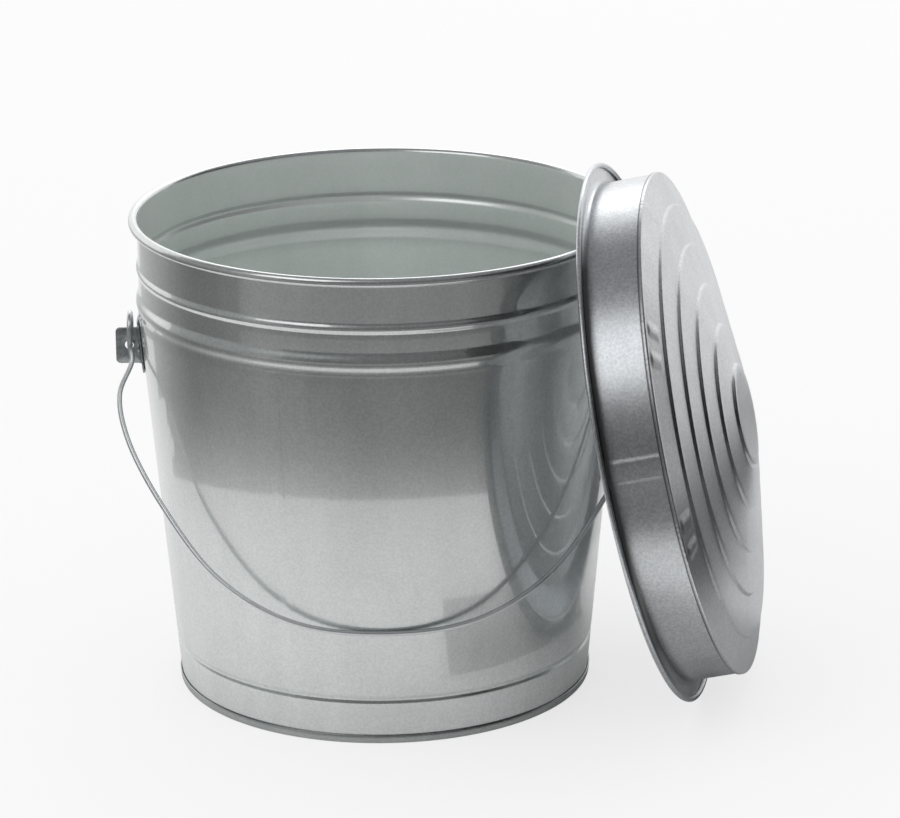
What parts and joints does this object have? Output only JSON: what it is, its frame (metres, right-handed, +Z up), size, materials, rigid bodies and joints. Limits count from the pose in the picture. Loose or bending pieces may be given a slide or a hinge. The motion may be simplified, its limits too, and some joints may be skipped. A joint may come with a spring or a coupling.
{
  "type": "trash can with lid",
  "caption": "Small tapered galvanized trash can with a rolled rim, a wire bail in riveted ears and its stepped lid leaning against the side.",
  "frame": {"origin": "centre of the can's base ring, on the floor", "axes": "+Z up along the can's axis, +X towards the right ear and the leaning lid, -Y the front, where the bail hangs"},
  "size_m": [0.3924, 0.3369, 0.3157],
  "materials": {
    "wall_galvanized": "galvanized, semi-gloss, mottled",
    "wire_galvanized": "galvanized wire, bright",
    "pan_galvanized": "galvanized, duller",
    "ear_galvanized": "galvanized, dull and mottled",
    "rivet_steel": "zinc-plated, satin",
    "lid_galvanized": "galvanized, semi-gloss, mottled"
  },
  "bodies": {
    "can": {"body_wall": "wall_galvanized", "rim_wire": "wire_galvanized", "bottom_pan": "pan_galvanized", "ear_left": "ear_galvanized", "ear_right": "ear_galvanized", "ear_left_rivet_front": "rivet_steel", "ear_left_rivet_back": "rivet_steel", "ear_right_rivet_front": "rivet_steel", "ear_right_rivet_back": "rivet_steel"},
    "lid": {"lid_skirt": "lid_galvanized", "lid_disc": "lid_galvanized"},
    "bail": {"bail": "wire_galvanized"}
  },
  "joints": [
    {"name": "lid_lift", "type": "slide", "parent": "can", "child": "lid", "axis": [0.9582, -0.1811, 0.2216], "range_m": [0, 0.24]},
    {"name": "bail_swing", "type": "hinge", "parent": "can", "child": "bail", "pos_m": [0, 0, 0.2165], "axis": [-1, 0, 0], "range_deg": [0, 275.6]}
  ],
  "couplings": [
    {"joint": "bail_swing", "follows": "lid_lift", "rad_per_m": 20}
  ]
}
